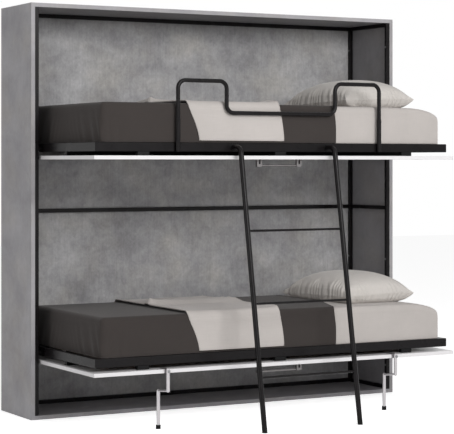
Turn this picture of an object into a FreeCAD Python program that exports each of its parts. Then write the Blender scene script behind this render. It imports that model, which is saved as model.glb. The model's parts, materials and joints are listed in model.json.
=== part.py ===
import FreeCAD, Part
import math
import os

# Double fold-down wall bed, modelled with both beds down, in millimetres.
# The origin is the centre of the cabinet's underside. The front faces -Y, +X is to the right, +Z is up.

# Mattress and bedding
MATTRESS_LENGTH = 1900.0
MATTRESS_WIDTH = 800.0
MATTRESS_HEIGHT = 188.0
MATTRESS_CORNER = 18.0
MATTRESS_EDGE = 16.0
SOFT_GAP = 0.3
CLOTH = 4.0
COVERLET_TO_PILLOW = 129.0
COVERLET_UNDER_PILLOW = 11.0
COVERLET_SLANT_DEPTH = 350.0
THROW_START = 442.0
THROW_WIDTH = 503.0
THROW_HEM_SHIFT = 56.0
THROW_HEM_WIDTH = 477.0
PILLOW_LENGTH = 430.0
PILLOW_WIDTH = 640.0
PILLOW_HEIGHT = 150.0
PILLOW_PULL = 16.0
PILLOW_FROM_HEAD = 294.0
PILLOW_FROM_FRONT = 411.0

# Bed frames and slats
FRAME_END_MARGIN = 40.0
FRAME_SIDE_MARGIN = 12.5
FRAME_BEHIND_FRONT = 240.0
RAIL_HEIGHT = 42.0
RAIL_WIDTH = 25.0
RAIL_WALL = 2.0
RAIL_CORNER = 2.5
CROSS_BAR = 20.0
CROSS_BAR_WALL = 1.5
CROSS_BAR_SPACING = 660.0
SLAT_COUNT = 14
SLAT_WIDTH = 60.0
SLAT_THICKNESS = 8.0
SLAT_CLEARANCE = 0.2
HOLDER_WALL = 3.0
HOLDER_FLOOR = 4.0
HOLDER_DEPTH = 28.0

# Front panels, their spacers, battens and handles
PANEL_THICKNESS = 18.0
PANEL_EDGE = 1.5
PANEL_FRONT_LAP = 35.0
PANEL_REAR_LAP = 107.0
PANEL_SIDE_GAP = 10.0
SPACER_HEIGHT = 19.0
SPACER_LENGTH = 60.0
SPACER_SPACING = 742.0
BATTEN_FROM_FRONT = 318.0
HANDLE_BAR = 9.0
HANDLE_LENGTH = 252.0
HANDLE_REACH = 35.0
HANDLE_FROM_EDGE = 52.0
HANDLE_POST_WIDTH = 28.0
HANDLE_POST_DEPTH = 14.0
HANDLE_POST_BASE = 12.0
HANDLE_SLOT = 10.0

# Cabinet boards and inner steel frame
CABINET_DEPTH = 392.0
BOARD = 20.0
BACK_BOARD = 8.0
BED_END_SPACE = 50.0
CLOSED_GAP_BOTTOM = 4.0
CLOSED_GAP_MIDDLE = 29.0
CLOSED_GAP_TOP = 23.0
TUBE = 20.0
TUBE_WALL = 1.5
TUBE_CORNER = 2.0
DOWEL = 8.0
DOWEL_IN_SIDE = 12.0
DOWEL_IN_BOARD = 20.0
DOWEL_SPACING = 140.0
WALL_HOLE = 9.0
WALL_HOLE_SPACING = 1600.0

# Fits and fasteners
RUN_CLEARANCE = 0.05
SEAT_CLEARANCE = 0.05
SIDE_CLEARANCE = 0.3
SCREW = 6.0
SCREW_HEAD = 11.0
SCREW_HEAD_HEIGHT = 3.0
SCREW_BITE = 14.0
FRAME_SCREWS_PER_UPRIGHT = 4
FRAME_SCREW_END = 130.0

# Bed pivots
PIVOT_SETBACK = 50.0
PIVOT_PIN = 14.0
PIVOT_BOSS = 20.0
PIVOT_PIN_TAIL = 4.0
BUSH = 18.0
BUSH_FLANGE = 26.0
BUSH_FLANGE_THICKNESS = 2.0
PLATE_THICKNESS = 6.0
PLATE_CORNER = 8.0
PLATE_DEPTH = 110.0
PLATE_BELOW_PIVOT = 40.0
PLATE_ABOVE_STUD = 25.0
PLATE_SCREW_INSET = 14.0

# Gas struts, measured from the bed pivot
STRUT_STUD_BACK = 40.0
STRUT_STUD_UP = 200.0
STRUT_ANCHOR_BACK = 175.0
STRUT_ANCHOR_UP = 5.0
STRUT_FROM_SIDE = 28.0
STRUT_CYLINDER = 18.0
STRUT_CYLINDER_LENGTH = 205.0
STRUT_WALL = 2.0
STRUT_CAP = 14.0
STRUT_GLAND = 10.0
STRUT_ROD = 8.0
STRUT_PISTON_LENGTH = 10.0
STRUT_PISTON_REST = 2.0
STRUT_EYE = 18.0
STRUT_EYE_WIDTH = 10.0
ROD_EYE = 16.0
ROD_EYE_WIDTH = 10.0
STUD = 8.0
STUD_COLLAR = 12.0
STUD_HEAD_THICKNESS = 3.0
ANCHOR_FLANGE = 18.0
ANCHOR_FLANGE_THICKNESS = 4.0
ANCHOR_GAP = 0.5

# Legs of the lower bed
LEG_TUBE = 17.0
LEG_WALL = 1.5
LEG_FROM_END = 350.0
LEG_AHEAD = 16.0
LEG_TOP = 15.0
LEG_CAP = 3.0
LEG_LINK = 10.0
LEG_LINK_HEIGHT = 191.0
LEG_LINK_BACK = 101.0
LEG_LINK_FALL = 12.0
LEG_PIN = 8.0
LEG_PIN_HEAD = 14.0
LEG_PIN_HEAD_THICKNESS = 2.0
LEG_BRACKET_WIDTH = 28.0
LEG_BRACKET_SHEET = 3.0
LEG_BRACKET_LAP = 45.0
LEG_FOOT = 23.0
LEG_FOOT_HEIGHT = 19.0
LEG_FOOT_BASE = 4.0

# Guard rail of the upper bed, which drops into its sockets when the bed folds up
GUARD_TUBE = 20.0
GUARD_WALL = 1.5
GUARD_HEIGHT = 294.0
GUARD_LOW_HEIGHT = 143.0
GUARD_SPAN = 1134.0
GUARD_LOW_SPAN = 612.0
GUARD_BEND = 38.0
GUARD_DROP = 132.0
GUARD_IN_SOCKET = 28.0
SOCKET_SEAT = 0.1
SOCKET_CLEARANCE = 0.2
SOCKET_WALL = 1.2
SOCKET_FLOOR = 2.0
SOCKET_SPARE = 1.0
LOCK_SCREW_FROM_TOP = 12.0

# Ladder of the upper bed
LADDER_TUBE = 25.0
LADDER_WALL = 2.0
LADDER_SPACING = 528.0
LADDER_FOOT_AHEAD = 300.0
LADDER_TOP_AHEAD = 72.0
LADDER_BEND = 38.0
LADDER_STUB_DEPTH = 19.0
LADDER_BUSH_WALL = 2.0
LADDER_BUSH_LIP = 2.0
LADDER_FOOT_LENGTH = 30.0
LADDER_FOOT_PLUG = 25.0
RUNG_COUNT = 3
RUNG = 11.0
RUNG_WALL = 1.5
RUNG_FIRST_HEIGHT = 250.0
RUNG_PITCH = 340.0

# Places worked out from the sizes above
FRONT = -CABINET_DEPTH / 2
BACK = CABINET_DEPTH / 2
BOARD_BACK_FACE = BACK - BACK_BOARD
FRAME_LENGTH = MATTRESS_LENGTH + 2 * FRAME_END_MARGIN
FRAME_HALF = FRAME_LENGTH / 2
FRAME_BACK_Y = FRONT + FRAME_BEHIND_FRONT
FRAME_FRONT_Y = FRAME_BACK_Y - MATTRESS_WIDTH - 2 * FRAME_SIDE_MARGIN
INNER_HALF = FRAME_HALF + BED_END_SPACE
CABINET_HALF = INNER_HALF + BOARD
PANEL_FRONT_Y = FRAME_FRONT_Y - PANEL_FRONT_LAP
PANEL_BACK_Y = FRAME_BACK_Y + PANEL_REAR_LAP
PANEL_HALF = INNER_HALF - TUBE - PANEL_SIDE_GAP
PIVOT_Y = FRONT + PIVOT_SETBACK
PANEL_BEHIND_PIVOT = PANEL_BACK_Y - PIVOT_Y
PANEL_AHEAD_OF_PIVOT = PIVOT_Y - PANEL_FRONT_Y
LOWER_PIVOT_Z = BOARD + CLOSED_GAP_BOTTOM + PANEL_BEHIND_PIVOT
LOWER_CLOSED_TOP = LOWER_PIVOT_Z + PANEL_AHEAD_OF_PIVOT
UPPER_PIVOT_Z = LOWER_CLOSED_TOP + CLOSED_GAP_MIDDLE + PANEL_BEHIND_PIVOT
INNER_TOP = UPPER_PIVOT_Z + PANEL_AHEAD_OF_PIVOT + CLOSED_GAP_TOP
CABINET_HEIGHT = INNER_TOP + BOARD
MID_RAIL_Z = LOWER_CLOSED_TOP + CLOSED_GAP_MIDDLE / 2
REAR_TUBE_Y = (BOARD_BACK_FACE - TUBE, BOARD_BACK_FACE)
FRONT_TUBE_Y = (FRONT, FRONT + TUBE)
PLATE_FACE_X = INNER_HALF - PLATE_THICKNESS
STRUT_X = INNER_HALF - STRUT_FROM_SIDE
LEG_X = FRAME_HALF - LEG_FROM_END
LEG_Y = PANEL_FRONT_Y - LEG_AHEAD
LADDER_X = LADDER_SPACING / 2
PILLOW_X = MATTRESS_LENGTH / 2 - PILLOW_FROM_HEAD
PILLOW_RIM_X = PILLOW_X - PILLOW_LENGTH / 2
COVERLET_FRONT_X = PILLOW_RIM_X - COVERLET_TO_PILLOW
COVERLET_REAR_X = PILLOW_RIM_X + COVERLET_UNDER_PILLOW
SOCKET = GUARD_TUBE + 2 * SOCKET_CLEARANCE + 2 * SOCKET_WALL
GUARD_Y = FRAME_FRONT_Y - SOCKET_SEAT - SOCKET / 2

V = FreeCAD.Vector
ALONG_X = V(1, 0, 0)
ALONG_Y = V(0, 1, 0)
ALONG_Z = V(0, 0, 1)
ORIGIN = V(0, 0, 0)
# Cosine above which two directions count as the same
PARALLEL_RATIO = 0.999


class Bed:
    """Heights of one bed that follow from the height of its pivot."""

    def __init__(self, name, pivot_z):
        self.name = name
        self.pivot_z = pivot_z
        self.panel_z = pivot_z - PIVOT_SETBACK
        self.panel_top = self.panel_z + PANEL_THICKNESS
        self.frame_z = self.panel_top + SPACER_HEIGHT
        self.top = self.frame_z + RAIL_HEIGHT
        self.mattress_z = self.top + SOFT_GAP
        self.mattress_top = self.mattress_z + MATTRESS_HEIGHT


LOWER = Bed("lower", LOWER_PIVOT_Z)
UPPER = Bed("upper", UPPER_PIVOT_Z)
BEDS = (UPPER, LOWER)


def save(node, solids):
    shape = solids[0] if len(solids) == 1 else Part.makeCompound(solids)
    shape.exportStep("parts/%s.step" % node)


def mirrored(shape):
    return shape.mirror(ORIGIN, ALONG_X)


def both_sides(shape):
    return [mirrored(shape), shape]


def box(x, y, z):
    """Box between three pairs of low and high coordinates."""
    return Part.makeBox(x[1] - x[0], y[1] - y[0], z[1] - z[0], V(x[0], y[0], z[0]))


def rod(start, end, diameter):
    way = end - start
    return Part.makeCylinder(diameter / 2, way.Length, start, way)


def edges_along(shape, axis):
    found = []
    for edge in shape.Edges:
        way = edge.tangentAt(edge.FirstParameter)
        if abs(way.dot(axis)) > PARALLEL_RATIO:
            found.append(edge)
    return found


def square_tube(x, y, z, wall, corner, axis):
    """Open-ended square or rectangular tube with rounded long edges."""
    spans = (x, y, z)
    inner = []
    for span, part_of_axis in zip(spans, axis):
        inner.append(span if part_of_axis else (span[0] + wall, span[1] - wall))
    outer = box(*spans)
    return outer.makeFillet(corner, edges_along(outer, axis)).cut(box(*inner))


def prism(points, low, high):
    """Upright prism over a plan outline."""
    wire = Part.makePolygon([V(x, y, low) for x, y in points + points[:1]])
    return Part.Face(wire).extrude(V(0, 0, high - low))


def bent_path(points, radius):
    """Straight runs through the points, joined by tangent arcs of one radius."""
    edges = []
    start = points[0]
    for before, corner, after in zip(points, points[1:], points[2:]):
        back = (before - corner).normalize()
        ahead = (after - corner).normalize()
        half_turn = (math.pi - back.getAngle(ahead)) / 2
        reach = radius * math.tan(half_turn)
        arc_in = corner + back * reach
        arc_out = corner + ahead * reach
        bisector = (back + ahead).normalize()
        middle = corner + bisector * (radius / math.cos(half_turn) - radius)
        edges.append(Part.LineSegment(start, arc_in).toShape())
        edges.append(Part.Arc(arc_in, middle, arc_out).toShape())
        start = arc_out
    edges.append(Part.LineSegment(start, points[-1]).toShape())
    return Part.Wire(edges)


def bent_rod(points, radius, diameter):
    way = points[1] - points[0]
    circle = Part.Wire([Part.Circle(points[0], way, diameter / 2).toShape()])
    return bent_path(points, radius).makePipeShell([circle], True, False)


def screw(seat, way, length):
    """Screw with its head on the seat and its shank going the given way."""
    head = rod(seat - way * SCREW_HEAD_HEIGHT, seat, SCREW_HEAD)
    return head.fuse(rod(seat, seat + way * length, SCREW)).removeSplitter()


def screw_hole(seat, way, length):
    return rod(seat, seat + way * length, SCREW + 2 * SEAT_CLEARANCE)


def upright_screw_seats():
    """Where the screws of the right side frame sit, on the inner faces of its uprights."""
    seats = []
    run = INNER_TOP - BOARD - 2 * FRAME_SCREW_END
    for tube_y in (FRONT_TUBE_Y, REAR_TUBE_Y):
        for index in range(FRAME_SCREWS_PER_UPRIGHT):
            z = BOARD + FRAME_SCREW_END + run * index / (FRAME_SCREWS_PER_UPRIGHT - 1)
            seats.append(V(INNER_HALF - TUBE, sum(tube_y) / 2, z))
    return seats


def plate_spans(bed):
    plate_y = (FRONT + TUBE, FRONT + TUBE + PLATE_DEPTH)
    plate_z = (bed.pivot_z - PLATE_BELOW_PIVOT, bed.pivot_z + STRUT_STUD_UP + PLATE_ABOVE_STUD)
    return plate_y, plate_z


def plate_screw_seats(bed):
    plate_y, plate_z = plate_spans(bed)
    rows = (plate_z[0] + PLATE_SCREW_INSET, plate_z[1] - PLATE_SCREW_INSET)
    columns = (plate_y[0] + PLATE_SCREW_INSET, plate_y[1] - PLATE_SCREW_INSET)
    return [V(PLATE_FACE_X, y, z) for y in columns for z in rows]


def dowel_ends():
    """Both ends of each dowel at the right side of the cabinet."""
    ends = []
    for z in (BOARD / 2, INNER_TOP + BOARD / 2):
        for step in (-1, 0, 1):
            y = step * DOWEL_SPACING
            ends.append((V(INNER_HALF - DOWEL_IN_BOARD, y, z), V(INNER_HALF + DOWEL_IN_SIDE, y, z)))
    return ends


def dowel_holes():
    return [rod(start, end, DOWEL + 2 * SEAT_CLEARANCE) for start, end in dowel_ends()]


def make_boards():
    side = box((INNER_HALF, CABINET_HALF), (FRONT, BACK), (0, CABINET_HEIGHT))
    side = side.cut(dowel_holes())
    side = side.cut([screw_hole(seat, ALONG_X, TUBE + SCREW_BITE) for seat in upright_screw_seats()])
    for bed in BEDS:
        bite = PLATE_THICKNESS + SCREW_BITE
        side = side.cut([screw_hole(seat, ALONG_X, bite) for seat in plate_screw_seats(bed)])
    save("right_side_panel", [side])
    save("left_side_panel", [mirrored(side)])
    holes = dowel_holes() + [mirrored(hole) for hole in dowel_holes()]
    across = (-INNER_HALF, INNER_HALF)
    save("bottom_panel", [box(across, (FRONT, BACK), (0, BOARD)).cut(holes)])
    save("top_panel", [box(across, (FRONT, BACK), (INNER_TOP, CABINET_HEIGHT)).cut(holes)])
    back = box(across, (BOARD_BACK_FACE, BACK), (BOARD, INNER_TOP))
    save("back_panel", [back.cut(wall_holes())])
    dowels = []
    for start, end in dowel_ends():
        dowels += both_sides(rod(start, end, DOWEL))
    save("cabinet_dowels", dowels)


def wall_holes():
    """Holes for the wall bolts, through the back top rail and the back board."""
    z = INNER_TOP - TUBE / 2
    x = WALL_HOLE_SPACING / 2
    hole = rod(V(x, REAR_TUBE_Y[0], z), V(x, BACK, z), WALL_HOLE)
    return both_sides(hole)


def make_steel_frame():
    tube_x = (INNER_HALF - TUBE, INNER_HALF)
    height = (BOARD, INNER_TOP)
    rail_heights = (
        (BOARD, BOARD + TUBE),
        (MID_RAIL_Z - TUBE / 2, MID_RAIL_Z + TUBE / 2),
        (INNER_TOP - TUBE, INNER_TOP),
    )
    side = []
    for tube_y in (FRONT_TUBE_Y, REAR_TUBE_Y):
        upright = square_tube(tube_x, tube_y, height, TUBE_WALL, TUBE_CORNER, ALONG_Z)
        side.append(upright.cut([screw_hole(seat, ALONG_X, TUBE) for seat in upright_screw_seats()]))
    for rail_z in rail_heights:
        rail_y = (FRONT_TUBE_Y[1], REAR_TUBE_Y[0])
        side.append(square_tube(tube_x, rail_y, rail_z, TUBE_WALL, TUBE_CORNER, ALONG_Y))
    save("right_side_frame", side)
    save("left_side_frame", [mirrored(tube) for tube in side])
    between = (-tube_x[0], tube_x[0])
    for place, rail_z in zip(("bottom", "mid", "top"), rail_heights):
        rail = square_tube(between, REAR_TUBE_Y, rail_z, TUBE_WALL, TUBE_CORNER, ALONG_X)
        if place == "top":
            rail = rail.cut(wall_holes())
        save("back_%s_rail" % place, [rail])
    screws = []
    for seat in upright_screw_seats():
        screws += both_sides(screw(seat, ALONG_X, TUBE + SCREW_BITE))
    save("frame_screws", screws)


def strut_stud_place(bed):
    return V(STRUT_X, PIVOT_Y + STRUT_STUD_BACK, bed.pivot_z + STRUT_STUD_UP)


def strut_anchor_place(bed):
    return V(STRUT_X, PIVOT_Y + STRUT_ANCHOR_BACK, bed.pivot_z + STRUT_ANCHOR_UP)


def pivot_pin(bed):
    """Pin that starts with a boss on the plate and ends just past the bed frame's end rail."""
    at = V(PLATE_FACE_X, PIVOT_Y, bed.pivot_z)
    boss_end = FRAME_HALF + BUSH_FLANGE_THICKNESS + SIDE_CLEARANCE
    tail = FRAME_HALF - RAIL_WIDTH - PIVOT_PIN_TAIL
    boss = rod(at, V(boss_end, at.y, at.z), PIVOT_BOSS)
    return boss.fuse(rod(at, V(tail, at.y, at.z), PIVOT_PIN)).removeSplitter()


def strut_stud(bed):
    """Stud on the plate that carries the eye of a strut between its collar and its head."""
    at = strut_stud_place(bed)
    half = STRUT_EYE_WIDTH / 2 + SIDE_CLEARANCE
    collar_end = at + ALONG_X * half
    head_start = at - ALONG_X * half
    head_end = head_start - ALONG_X * STUD_HEAD_THICKNESS
    stud = rod(V(PLATE_FACE_X, at.y, at.z), collar_end, STUD_COLLAR)
    stud = stud.fuse([rod(collar_end, head_start, STUD), rod(head_start, head_end, STUD_COLLAR)])
    return stud.removeSplitter()


def make_pivots():
    plates = []
    pins = []
    screws = []
    for bed in BEDS:
        plate_y, plate_z = plate_spans(bed)
        plate = box((PLATE_FACE_X, INNER_HALF), plate_y, plate_z)
        plate = plate.makeFillet(PLATE_CORNER, edges_along(plate, ALONG_X))
        seats = plate_screw_seats(bed)
        plates += both_sides(plate.cut([screw_hole(seat, ALONG_X, PLATE_THICKNESS) for seat in seats]))
        pins += both_sides(pivot_pin(bed)) + both_sides(strut_stud(bed))
        for seat in seats:
            screws += both_sides(screw(seat, ALONG_X, PLATE_THICKNESS + SCREW_BITE))
    save("pivot_plates", plates)
    save("pivot_pins", pins)
    save("plate_screws", screws)


def eye(at, diameter, width):
    side = ALONG_X * (width / 2)
    return rod(at - side, at + side, diameter)


def make_struts():
    for bed in BEDS:
        stud = strut_stud_place(bed)
        anchor = strut_anchor_place(bed)
        way = (anchor - stud).normalize()
        bore = STRUT_CYLINDER - 2 * STRUT_WALL
        gland = stud + way * (STRUT_CYLINDER_LENGTH - STRUT_GLAND)
        end = stud + way * STRUT_CYLINDER_LENGTH
        cylinder = rod(stud, end, STRUT_CYLINDER).fuse(eye(stud, STRUT_EYE, STRUT_EYE_WIDTH))
        cheek = eye(stud, STRUT_EYE, STRUT_CYLINDER)
        cylinder = cylinder.cut(cheek.cut(eye(stud, STRUT_EYE, STRUT_EYE_WIDTH)))
        cylinder = cylinder.cut(eye(stud, STUD + 2 * RUN_CLEARANCE, STRUT_CYLINDER))
        cylinder = cylinder.cut(rod(stud + way * STRUT_CAP, gland, bore))
        cylinder = cylinder.cut(rod(gland, end, STRUT_ROD + 2 * RUN_CLEARANCE))
        piston = stud + way * (STRUT_CAP + STRUT_PISTON_REST)
        piston_end = piston + way * STRUT_PISTON_LENGTH
        ring_bore = STUD + 2 * RUN_CLEARANCE
        ring = eye(anchor, ROD_EYE, ROD_EYE_WIDTH).cut(eye(anchor, ring_bore, ROD_EYE_WIDTH))
        rod_end = anchor - way * ((ROD_EYE + ring_bore) / 4)
        strut_rod = rod(piston, piston_end, bore - 2 * RUN_CLEARANCE).fuse(rod(piston, rod_end, STRUT_ROD))
        strut_rod = strut_rod.fuse(ring).removeSplitter()
        for side, turn in (("right", lambda shape: shape), ("left", mirrored)):
            save("%s_%s_strut_cylinder" % (bed.name, side), [turn(cylinder)])
            save("%s_%s_strut_rod" % (bed.name, side), [turn(strut_rod)])


def bush_hole(bed):
    inside = V(FRAME_HALF - RAIL_WIDTH, PIVOT_Y, bed.pivot_z)
    return rod(inside, inside + ALONG_X * RAIL_WIDTH, BUSH + 2 * SEAT_CLEARANCE)


def ladder_hole_diameter():
    return LADDER_TUBE + 2 * RUN_CLEARANCE + 2 * LADDER_BUSH_WALL


def ladder_entry(bed):
    """Centre of the right ladder hole on the front face of the bed frame."""
    return V(LADDER_X, FRAME_FRONT_Y, bed.frame_z + RAIL_HEIGHT / 2)


def make_bed_frame(bed):
    x = (-FRAME_HALF, FRAME_HALF)
    y = (FRAME_FRONT_Y, FRAME_BACK_Y)
    z = (bed.frame_z, bed.top)
    inner_x = (x[0] + RAIL_WIDTH, x[1] - RAIL_WIDTH)
    inner_y = (y[0] + RAIL_WIDTH, y[1] - RAIL_WIDTH)
    outer_corners = [(x[0], y[0]), (x[1], y[0]), (x[1], y[1]), (x[0], y[1])]
    inner_corners = [(inner_x[0], inner_y[0]), (inner_x[1], inner_y[0])]
    inner_corners += [(inner_x[1], inner_y[1]), (inner_x[0], inner_y[1])]
    bars = (
        square_tube(x, (y[0], inner_y[0]), z, RAIL_WALL, RAIL_CORNER, ALONG_X),
        square_tube((inner_x[1], x[1]), y, z, RAIL_WALL, RAIL_CORNER, ALONG_Y),
        square_tube(x, (inner_y[1], y[1]), z, RAIL_WALL, RAIL_CORNER, ALONG_X),
        square_tube((x[0], inner_x[0]), y, z, RAIL_WALL, RAIL_CORNER, ALONG_Y),
    )
    rails = []
    for index, bar in enumerate(bars):
        following = (index + 1) % len(bars)
        outline = [outer_corners[index], outer_corners[following]]
        outline += [inner_corners[following], inner_corners[index]]
        rails.append(bar.common(prism(outline, *z)))
    front, right, rear, left = rails
    right = right.cut(bush_hole(bed))
    left = left.cut(mirrored(bush_hole(bed)))
    if bed is UPPER:
        entry = ladder_entry(bed)
        hole = rod(entry, entry + ALONG_Y * RAIL_WALL, ladder_hole_diameter() + 2 * SEAT_CLEARANCE)
        front = front.cut(both_sides(hole))
    solids = [front, right, rear, left]
    bar_z = (bed.frame_z, bed.frame_z + CROSS_BAR)
    bar_x = (CROSS_BAR_SPACING / 2 - CROSS_BAR / 2, CROSS_BAR_SPACING / 2 + CROSS_BAR / 2)
    solids += both_sides(square_tube(bar_x, inner_y, bar_z, CROSS_BAR_WALL, TUBE_CORNER, ALONG_Y))
    save(bed.name + "_bed_frame", solids)


def make_slats(bed):
    inner_half = FRAME_HALF - RAIL_WIDTH
    inner_y = (FRAME_FRONT_Y + RAIL_WIDTH, FRAME_BACK_Y - RAIL_WIDTH)
    pitch = 2 * inner_half / SLAT_COUNT
    slat_z = (bed.top - SLAT_THICKNESS, bed.top)
    slats = []
    holders = []
    for index in range(SLAT_COUNT):
        middle = -inner_half + pitch * (index + 0.5)
        slat_x = (middle - SLAT_WIDTH / 2, middle + SLAT_WIDTH / 2)
        slat = box(slat_x, (inner_y[0] + HOLDER_WALL, inner_y[1] - HOLDER_WALL), slat_z)
        slats.append(slat)
        pocket_x = (slat_x[0] - SLAT_CLEARANCE, slat_x[1] + SLAT_CLEARANCE)
        pocket = box(pocket_x, (inner_y[0] + HOLDER_WALL, inner_y[1] - HOLDER_WALL), slat_z)
        holder_x = (pocket_x[0] - HOLDER_WALL, pocket_x[1] + HOLDER_WALL)
        holder_z = (slat_z[0] - HOLDER_FLOOR, bed.top)
        holders.append(box(holder_x, (inner_y[0], inner_y[0] + HOLDER_DEPTH), holder_z).cut(pocket))
        holders.append(box(holder_x, (inner_y[1] - HOLDER_DEPTH, inner_y[1]), holder_z).cut(pocket))
    save(bed.name + "_slats", slats)
    save(bed.name + "_slat_holders", holders)


def make_front_panel(bed):
    """Panel under the bed frame, with spacer blocks below both long rails and a batten between them."""
    panel = box((-PANEL_HALF, PANEL_HALF), (PANEL_FRONT_Y, PANEL_BACK_Y), (bed.panel_z, bed.panel_top))
    save(bed.name + "_front_panel", [panel.makeFillet(PANEL_EDGE, panel.Edges)])
    spacers = []
    for y in (FRAME_FRONT_Y, FRAME_BACK_Y - RAIL_WIDTH):
        for step in (-1, 0, 1):
            middle = step * SPACER_SPACING
            spacer_x = (middle - SPACER_LENGTH / 2, middle + SPACER_LENGTH / 2)
            spacers.append(box(spacer_x, (y, y + RAIL_WIDTH), (bed.panel_top, bed.frame_z)))
    batten_y = FRAME_FRONT_Y + BATTEN_FROM_FRONT
    batten_x = (-FRAME_HALF, FRAME_HALF)
    spacers.append(box(batten_x, (batten_y, batten_y + RAIL_WIDTH), (bed.panel_top, bed.frame_z)))
    save(bed.name + "_panel_spacers", spacers)


def make_handle(bed):
    """Straight bar between two posts, each with an upright slot above its base."""
    y = PANEL_FRONT_Y + HANDLE_FROM_EDGE
    low = bed.panel_z - HANDLE_REACH
    post_x = (HANDLE_LENGTH / 2 - HANDLE_POST_WIDTH, HANDLE_LENGTH / 2)
    post_y = (y - HANDLE_POST_DEPTH / 2, y + HANDLE_POST_DEPTH / 2)
    middle = sum(post_x) / 2
    slot_x = (middle - HANDLE_SLOT / 2, middle + HANDLE_SLOT / 2)
    slot = box(slot_x, post_y, (low + HANDLE_POST_BASE, bed.panel_z))
    post = box(post_x, post_y, (low, bed.panel_z)).cut(slot)
    bar_z = low + HANDLE_POST_BASE / 2
    bar = rod(V(-middle, y, bar_z), V(middle, y, bar_z), HANDLE_BAR)
    save(bed.name + "_handle", [bar.fuse(both_sides(post)).removeSplitter()])


def make_bed_pivots(bed):
    inside = V(FRAME_HALF - RAIL_WIDTH, PIVOT_Y, bed.pivot_z)
    face = V(FRAME_HALF, PIVOT_Y, bed.pivot_z)
    flange_face = face + ALONG_X * BUSH_FLANGE_THICKNESS
    bush = rod(inside, face, BUSH).fuse(rod(face, flange_face, BUSH_FLANGE)).removeSplitter()
    bush = bush.cut(rod(inside, flange_face, PIVOT_PIN + 2 * RUN_CLEARANCE))
    save(bed.name + "_pivot_bushes", both_sides(bush))
    anchor = strut_anchor_place(bed)
    root = V(FRAME_HALF, anchor.y, anchor.z)
    tip = anchor - ALONG_X * (ROD_EYE_WIDTH / 2 + ANCHOR_GAP)
    flange = rod(root, root + ALONG_X * ANCHOR_FLANGE_THICKNESS, ANCHOR_FLANGE)
    save(bed.name + "_strut_anchors", both_sides(flange.fuse(rod(root, tip, STUD)).removeSplitter()))


def mattress_form(bed, grow, low):
    """Mattress block grown on every side, down to the given height, with rounded corners and top edges."""
    half = MATTRESS_LENGTH / 2 + grow
    y = (FRAME_FRONT_Y + FRAME_SIDE_MARGIN - grow, FRAME_BACK_Y - FRAME_SIDE_MARGIN + grow)
    top = bed.mattress_top + grow
    block = box((-half, half), y, (low, top))
    block = block.makeFillet(MATTRESS_CORNER + grow, edges_along(block, ALONG_Z))
    rim = [edge for edge in block.Edges if edge.BoundBox.ZMin > top - SOFT_GAP]
    return block.makeFillet(MATTRESS_EDGE + grow, rim)


def make_mattress(bed):
    block = mattress_form(bed, 0, bed.mattress_z)
    rim = [edge for edge in block.Edges if edge.BoundBox.ZMax < bed.mattress_z + SOFT_GAP]
    save(bed.name + "_mattress", [block.makeFillet(MATTRESS_EDGE, rim)])


def cloth_shell(bed, layer):
    """Cloth that hangs over the mattress down to the bed frame. Layer 0 lies on it, layer 1 on layer 0."""
    inside = SOFT_GAP + layer * (SOFT_GAP + CLOTH)
    outer = mattress_form(bed, inside + CLOTH, bed.mattress_z)
    return outer.cut(mattress_form(bed, inside, bed.mattress_z - CLOTH))


def make_cloths(bed):
    """Coverlet whose head edge slants from the front to under the pillow, and throw across the bed."""
    foot = -MATTRESS_LENGTH / 2
    whole = cloth_shell(bed, 0)
    bounds = whole.BoundBox
    slant_end = bounds.YMin + COVERLET_SLANT_DEPTH
    plan = [(bounds.XMin, bounds.YMin), (COVERLET_FRONT_X, bounds.YMin), (COVERLET_REAR_X, slant_end)]
    plan += [(COVERLET_REAR_X, bounds.YMax), (bounds.XMin, bounds.YMax)]
    save(bed.name + "_coverlet", [whole.common(prism(plan, bounds.ZMin, bounds.ZMax))])
    whole = cloth_shell(bed, 1)
    bounds = whole.BoundBox
    start = foot + THROW_START
    hem = start + THROW_HEM_SHIFT
    outline = [(start, bounds.ZMax), (start + THROW_WIDTH, bounds.ZMax)]
    outline += [(hem + THROW_HEM_WIDTH, bounds.ZMin), (hem, bounds.ZMin)]
    wire = Part.makePolygon([V(x, bounds.YMin, z) for x, z in outline + outline[:1]])
    band = Part.Face(wire).extrude(V(0, bounds.YMax - bounds.YMin, 0))
    save(bed.name + "_throw", [whole.common(band)])


def pillow_outline(middle, share, z):
    """Pillow outline at one height: four corners joined by sides that are drawn in."""
    a = PILLOW_LENGTH / 2 * share
    b = PILLOW_WIDTH / 2 * share
    pull = PILLOW_PULL * share
    corners = [V(-a, -b, 0), V(a, -b, 0), V(a, b, 0), V(-a, b, 0)]
    middles = [V(0, pull - b, 0), V(a - pull, 0, 0), V(0, b - pull, 0), V(pull - a, 0, 0)]
    place = V(middle.x, middle.y, z)
    edges = []
    for index, side_middle in enumerate(middles):
        ends = (corners[index] + place, corners[(index + 1) % len(corners)] + place)
        edges.append(Part.Arc(ends[0], side_middle + place, ends[1]).toShape())
    return Part.Wire(edges)


def make_pillow(bed):
    y = FRAME_FRONT_Y + FRAME_SIDE_MARGIN + PILLOW_FROM_FRONT
    low = bed.mattress_top + SOFT_GAP
    # Outline size at each share of the height, from the flat underside to the crown
    profile = ((0.0, 0.8), (0.14, 0.94), (0.34, 1.0), (0.58, 0.94), (0.8, 0.77), (0.93, 0.54), (1.0, 0.24))
    outlines = []
    for rise, share in profile:
        outlines.append(pillow_outline(V(PILLOW_X, y, 0), share, low + rise * PILLOW_HEIGHT))
    save(bed.name + "_pillow", [Part.makeLoft(outlines, True, False)])


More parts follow.
